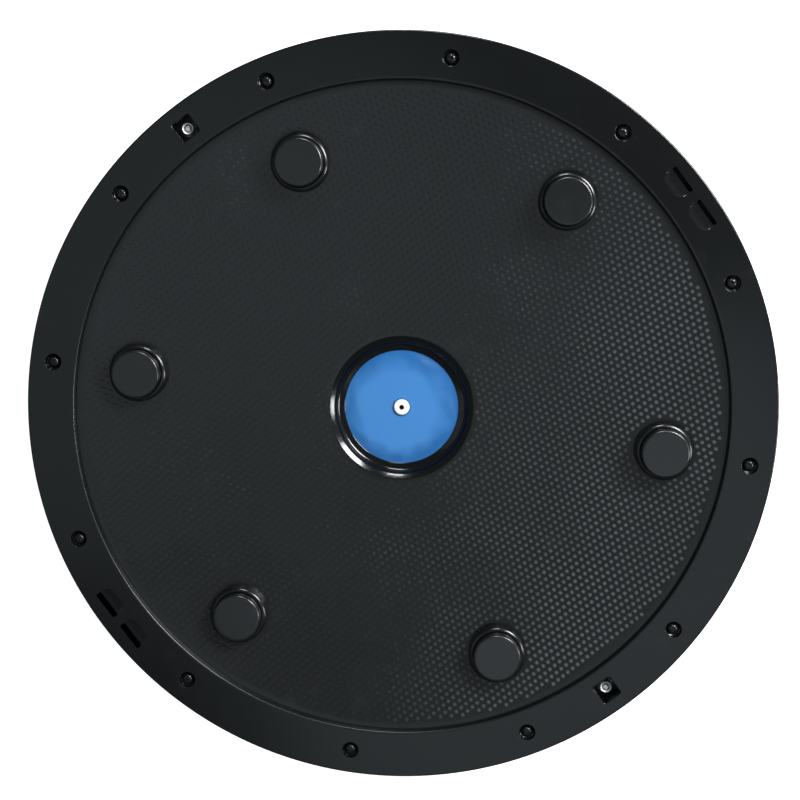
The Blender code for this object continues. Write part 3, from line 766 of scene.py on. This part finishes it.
def sheet_height(x, y):
    """Height of the base sheet in the opening: a flat many-sided middle that slopes off to the lip."""
    sides = ((0.0330, 32), (0.0345, -14), (0.0335, -68), (0.0360, -118),
             (0.0350, -165), (0.0345, 148), (0.0350, 88))
    softness, slope_width, sag = 0.0009, 0.0135, 0.08
    excess = 0.0
    for reach, angle in sides:
        turn = math.radians(angle)
        beyond = x * math.cos(turn) + y * math.sin(turn) - reach
        excess += math.log1p(math.exp(min(beyond / softness, 40.0))) * softness
    outer = LIP_BOTTOM - GAP
    crown = MEMBRANE_CROWN - 0.00005
    radius = math.hypot(x, y)
    fall = (crown - outer) * min(1.0, excess / slope_width + sag * radius / SHEET_LIP)
    return crown - fall


def build_base_sheet():
    """Base sheet of the bladder: it lies under the deck and swells a little through the opening."""
    under = [(RIM_RADIUS, -THICK - GAP), (0.2612, -THICK - GAP)]
    radii = [DECK_RADIUS - 0.0040 - (DECK_RADIUS - HUB - 0.0080) * step / 20 for step in range(21)]
    under += [(radius, deck_height(radius) - DECK_THICK - 0.0004) for radius in radii]
    under += [(radius, LIP_BOTTOM - GAP) for radius in (LIP_OUTER, 0.0500, 0.0486)]
    around = 144
    s = Surface()
    upper = s.rings(under, around)
    steps = 26
    for step in range(steps + 1):
        radius = SHEET_LIP + (VALVE_BORE - SHEET_LIP) * step / steps
        upper.append(s.loop(circle(radius, sheet_height, around)))
    lower = []
    for loop in reversed(upper):
        lower.append(s.loop([(x, y, z - SHEET) for x, y, z in (s.points[index] for index in loop)]))
    s.chain(upper + lower + [upper[0]])
    mesh = s.mesh("base_sheet")
    mesh.set_sharp_from_angle(angle=math.radians(50))
    sheet = add_piece("base_sheet", mesh, [SHEET_VINYL], ["base_membrane"])


def build_valve():
    """The seat bonded into the sheet, and the plug with its blind hole."""
    crown = MEMBRANE_CROWN
    flange = crown - SHEET - 0.0006
    bore, neck, skirt = 0.0043, 0.0070, 0.0140
    seat = [(bore, crown - 0.0003), (0.0046, crown), (0.0066, crown), (neck, crown - 0.0004),
            (neck, flange), (0.0136, flange - 0.0004), (skirt, flange - 0.0008),
            (skirt, flange - 0.0016), (0.0062, flange - 0.0020), (0.0056, crown - 0.0150),
            (bore, crown - 0.0150)]
    mesh = turned("valve_socket", seat, 64, crease=40)
    add_piece("valve_socket", mesh, [SHEET_VINYL], ["valve_seat"])

    base = crown + GAP
    head = base + 0.0022
    blind_hole = [(0.0, head - 0.0075), (0.0014, head - 0.0072), (0.0017, head - 0.0068),
                  (0.0018, head - 0.0004), (0.0020, head - 0.0001), (0.0024, head)]
    cap = [(0.0050, head), (0.0055, head - 0.0001), (0.0060, head - 0.0003), (0.0064, head - 0.0008),
           (0.0065, head - 0.0013), (0.0065, base + 0.0004), (0.0062, base), (0.0036, base)]
    shank = [(0.0034, base - 0.0045), (0.0039, base - 0.0052), (0.0038, base - 0.0060),
             (0.0028, base - 0.0130), (0.0, base - 0.0130)]
    mesh = turned("valve_stopper", blind_hole + cap + shank, 64, crease=40)
    # faces inside the blind hole get the painted shade
    for face in mesh.polygons:
        middle = face.center
        in_hole = math.hypot(middle.x, middle.y) < 0.0019 and middle.z > FLANGE + head - 0.009
        face.material_index = int(in_hole)
    add_piece("valve_stopper", mesh, [PLUG_PLASTIC, BORE_SHADE_PLASTIC], ["valve_plug"],
              "plug")


# ---- Fasteners and feet --------------------------------------------------------------

def carved(mesh, tool_mesh, operation="DIFFERENCE"):
    """A mesh with another one cut out of it, or added to it."""
    scene = bpy.context.scene.collection
    item = bpy.data.objects.new("carved", mesh)
    tool = bpy.data.objects.new("carving_tool", tool_mesh)
    scene.objects.link(item)
    scene.objects.link(tool)
    modifier = item.modifiers.new("carve", "BOOLEAN")
    modifier.operation = operation
    modifier.solver = "EXACT"
    modifier.object = tool
    bpy.context.view_layer.update()
    evaluated = item.evaluated_get(bpy.context.evaluated_depsgraph_get())
    result = bpy.data.meshes.new_from_object(evaluated)
    bpy.data.objects.remove(item)
    bpy.data.objects.remove(tool)
    return result


def prism_mesh(name, outline, bottom, top):
    """A straight prism on a plan outline; heights are from the flange face."""
    s = Surface()
    low = s.loop([(x, y, bottom) for x, y in outline])
    high = s.loop([(x, y, top) for x, y in outline])
    s.bridge(low, high)
    s.cap(low)
    s.cap(high)
    return s.mesh(name)


def moved(mesh, place, turn=0.0):
    """A copy of a mesh, turned about the upright axis and moved in plan."""
    copy = mesh.copy()
    copy.transform(Matrix.Translation((place[0], place[1], 0.0)) @ Matrix.Rotation(turn, 4, "Z"))
    return copy


def build_screws():
    """Pan-head screws with a cross recess, each turned to its own angle."""
    seat = -0.0046 + GAP
    head = seat + 0.0031
    shank, tip = 0.0021, seat - 0.0180
    profile = [(0.0, head), (0.0016, head - 0.00005), (0.0026, head - 0.0003),
               (0.0034, head - 0.0008), (0.0040, head - 0.0016), (0.0042, head - 0.0024),
               (0.0042, seat + 0.0001), (0.0041, seat), (shank, seat), (shank, seat - 0.0150),
               (0.0006, tip), (0.0, tip)]
    body = turned("rim_screw_look", profile, 40, crease=40)
    arm, half = 0.0021, 0.00048
    cross = [(arm, -half), (arm, half), (half, half), (half, arm), (-half, arm), (-half, half),
             (-arm, half), (-arm, -half), (-half, -half), (-half, -arm), (half, -arm), (half, -half)]
    screw = carved(body, prism_mesh("driver_recess", cross, head - 0.0014, head + 0.002))
    screw.set_sharp_from_angle(angle=math.radians(40))
    for number, angle in enumerate(SCREW_ANGLES):
        name = f"rim_screw_look_{number + 1:02d}"
        mesh = moved(screw, polar(PITCH_CIRCLE, angle), random.Random(number).uniform(0.0, math.tau))
        add_piece(name, mesh, [SCREW_STEEL], [f"rim_screw_{number + 1:02d}"])


def build_feet():
    """Rubber feet with a rounded rim, pressed into the collars by a stud."""
    rim, stud, stud_end = 0.0022, 0.0040, -0.0182
    profile = [(0.0, FOOT_TOP), (0.0100, FOOT_TOP), (FOOT_RADIUS - rim - 0.0010, FOOT_TOP)]
    profile += arc((FOOT_RADIUS - rim, FOOT_TOP - rim), rim, 90, 0, 8)
    profile += [(FOOT_RADIUS, FOOT_TOP - 0.0060), (FOOT_RADIUS, SOCKET_FLOOR + 0.0008),
                (FOOT_RADIUS - 0.0005, SOCKET_FLOOR + GAP), (stud + 0.0002, SOCKET_FLOOR + GAP),
                (stud, SOCKET_FLOOR), (stud, stud_end + 0.0004), (0.0036, stud_end), (0.0, stud_end)]
    pad = turned("foot_look", profile, 96, crease=50)
    for number, angle in enumerate(FOOT_ANGLES):
        mesh = moved(pad, polar(FOOT_CIRCLE, angle), 0.4 * number)
        add_piece(f"foot_look_{number + 1}", mesh, [FOOT_RUBBER], [f"foot_pad_{number + 1}"])


def eye_mesh(eye_top):
    """An eye bolt: a round eye, and a threaded shank that runs up through the nut."""
    wire, inner = 0.0026, 0.0065
    shank_radius, thread_root, thread_start, end = 0.0030, 0.0026, -0.0198, -0.0096
    reach = wire + inner
    middle = eye_top - 0.0030 - reach
    s = Surface()
    loops = []
    for step in range(64):
        turn = math.tau * step / 64
        ring = []
        for side in range(20):
            across = math.tau * side / 20
            out = reach + wire * math.cos(across)
            ring.append((wire * math.sin(across), out * math.sin(turn), middle + out * math.cos(turn)))
        loops.append(s.loop(ring))
    s.chain(loops + [loops[0]])
    eye = s.mesh("eye")
    profile = [(0.0, eye_top - 0.0046), (0.0020, eye_top - 0.0046),
               (shank_radius, eye_top - 0.0036), (shank_radius, eye_top - 0.0030),
               (shank_radius, thread_start - 0.0002)]
    turns = 20
    tip = end - 0.0012
    for step in range(turns):
        height = thread_start + (tip - thread_start) * step / (turns - 1)
        profile.append((shank_radius if step % 2 else thread_root, height))
    profile += [(shank_radius, tip), (0.0022, end - 0.0002), (0.0014, end - 0.00005), (0.0, end)]
    shank = turned("shank", profile, 32)
    return carved(eye, shank, "UNION")


def nut_mesh(seat):
    """A hexagon locking nut: chamfered corners and a rounded collar."""
    flats, collar_radius, bore_radius = 0.0050, 0.0054, 0.0033
    corner = flats / math.cos(math.pi / 6)
    turns = [math.pi * side / 3 for side in range(6)]
    hexagon = [(corner * math.cos(turn), corner * math.sin(turn)) for turn in turns]
    body = prism_mesh("nut_body", hexagon, seat, seat + 0.0052)
    below, above = seat - 0.001, seat + 0.010
    limit = [(0.0, below), (0.0052, below), (0.0052, seat), (0.0058, seat + 0.0004),
             (0.0058, seat + 0.0046), (0.0051, seat + 0.0050), (0.0046, seat + 0.0052),
             (0.0046, seat + 0.0062), (0.0, seat + 0.0062)]
    nut = carved(body, turned("nut_limit", limit, 60), "INTERSECT")
    collar = [(0.0, seat + 0.0020), (collar_radius, seat + 0.0020), (collar_radius, seat + 0.0052),
              (collar_radius, seat + 0.0058), (0.0052, seat + 0.0065), (0.0048, seat + 0.0070),
              (0.0043, seat + 0.0072), (0.0038, seat + 0.0071), (0.0034, seat + 0.0068),
              (0.0, seat + 0.0068)]
    nut = carved(nut, turned("nut_collar", collar, 60), "UNION")
    bore = [(0.0, below), (bore_radius, below), (bore_radius, above), (0.0, above)]
    nut = carved(nut, turned("nut_bore", bore, 40))
    nut.set_sharp_from_angle(angle=math.radians(30))
    return nut


def build_anchors():
    """Two eye bolts with their washers and locking nuts."""
    washer, bore = 0.0012, 0.0033
    eye_top = RING_BOTTOM - GAP - 0.0015
    eye = eye_mesh(eye_top)
    eye.set_sharp_from_angle(angle=math.radians(60))
    # under the ring the eye gets the plain plating; the bolt's top gets the brightened, painted-light
    # copy
    for face in eye.polygons:
        face.material_index = int(face.center.z < FLANGE + RING_BOTTOM)
    nut = nut_mesh(NUT_SEAT + GAP + 0.0015)
    washers = {}
    for label, base in (("ring", RING_BOTTOM - GAP - washer), ("nut", NUT_SEAT + GAP)):
        profile = [(bore, base), (bore, base + washer), (0.0057, base + washer),
                   (0.0060, base + washer - 0.0002), (0.0060, base + 0.0002), (0.0057, base)]
        washers[label] = turned(f"{label}_washer_look", profile, 60, crease=30)
    for letter, angle in zip("ab", ANCHOR_ANGLES):
        place = polar(PITCH_CIRCLE, angle)
        pieces = ((f"eye_bolt_look_{letter}", eye, f"eye_bolt_{letter}"),
                  (f"lock_nut_look_{letter}", nut, f"lock_nut_{letter}"),
                  (f"ring_washer_look_{letter}", washers["ring"], f"ring_washer_{letter}"),
                  (f"nut_washer_look_{letter}", washers["nut"], f"nut_washer_{letter}"))
        for name, mesh, replaced in pieces:
            steels = [LIT_ZINC_STEEL, EYE_STEEL] if mesh is eye else [LIT_ZINC_STEEL]
            add_piece(name, moved(mesh, place, angle), steels, [replaced])


# ---- Stage ---------------------------------------------------------------------------

AIM = (0.0, 0.0, 0.2)                        # where every light points
CAMERA_PLACE = (0.05237, 0.14564, 1.41097)
CAMERA_SIDE = (0.99901, 0.00422, -0.04420)
CAMERA_UP = (-0.00918, 0.99361, -0.11253)
CAMERA_BACK = (0.04344, 0.11282, 0.99266)


def build_floor():
    """A plain pale floor that glows a little, so that it stays pale at the edges of the picture."""
    mesh = bpy.data.meshes.new("floor")
    reach = 6.0
    corners = [(-reach, -reach, 0.0), (reach, -reach, 0.0), (reach, reach, 0.0), (-reach, reach, 0.0)]
    mesh.from_pydata(corners, [], [(0, 1, 2, 3)])
    material = bpy.data.materials.new("floor_paint")
    material.use_nodes = True
    shader = material.node_tree.nodes["Principled BSDF"]
    shader.inputs["Base Color"].default_value = (0.86, 0.86, 0.86, 1.0)
    shader.inputs["Roughness"].default_value = 0.9
    shader.inputs["Specular IOR Level"].default_value = 0.1
    shader.inputs["Emission Color"].default_value = (1.0, 1.0, 1.0, 1.0)
    shader.inputs["Emission Strength"].default_value = 0.86
    mesh.materials.append(material)
    floor = bpy.data.objects.new("floor", mesh)
    bpy.context.scene.collection.objects.link(floor)


def add_area(name, place, size, energy, colour=(1.0, 1.0, 1.0)):
    """A rectangular soft light aimed at the object."""
    light = bpy.data.lights.new(name, "AREA")
    light.color = colour
    light.shape = "RECTANGLE"
    light.size, light.size_y = size
    light.energy = energy
    item = bpy.data.objects.new(name, light)
    item.location = place
    aim = Vector(AIM) - Vector(place)
    item.rotation_euler = aim.to_track_quat("-Z", "Y").to_euler()
    bpy.context.scene.collection.objects.link(item)


def build_lights():
    """Soft key, two small lights that make the rims glint, a low window and two ceiling panels."""
    world = bpy.data.worlds.new("studio")
    world.use_nodes = True
    background = world.node_tree.nodes["Background"]
    background.inputs["Color"].default_value = (0.93, 0.97, 1.0, 1.0)
    background.inputs["Strength"].default_value = 0.12
    bpy.context.scene.world = world
    add_area("key", (0.98, 0.80, 1.40), (0.55, 0.55), 36.0)
    add_area("top_light", (0.07, 1.50, 1.42), (0.40, 0.40), 12.0)
    add_area("side_light", (1.55, -0.25, 1.42), (0.40, 0.40), 12.0)
    add_area("low_window", (2.10, 0.30, 0.90), (1.6, 0.8), 2.5)
    add_area("overhead", (0.30, -0.75, 2.6), (1.5, 1.1), 3.1, (0.84, 0.95, 1.0))
    add_area("overhead_left", (-0.99, -0.05, 2.6), (1.3, 2.1), 2.7, (0.86, 0.97, 1.0))


def build_camera():
    """The photo's camera, as fitted to the twelve screws."""
    camera = bpy.data.cameras.new("camera")
    camera.sensor_width = 36.0
    camera.lens = 67.5
    camera.clip_end = 50.0
    item = bpy.data.objects.new("camera", camera)
    turn = Matrix((CAMERA_SIDE, CAMERA_UP, CAMERA_BACK)).transposed().to_4x4()
    item.matrix_world = Matrix.Translation(CAMERA_PLACE) @ turn
    bpy.context.scene.collection.objects.link(item)
    bpy.context.scene.camera = item


build_platform()
build_clamp_ring()
build_dome()
build_base_sheet()
build_valve()
build_screws()
build_feet()
build_anchors()
build_floor()
build_lights()
build_camera()
bpy.context.scene.view_settings.view_transform = "Standard"

bpy.context.view_layer.update()
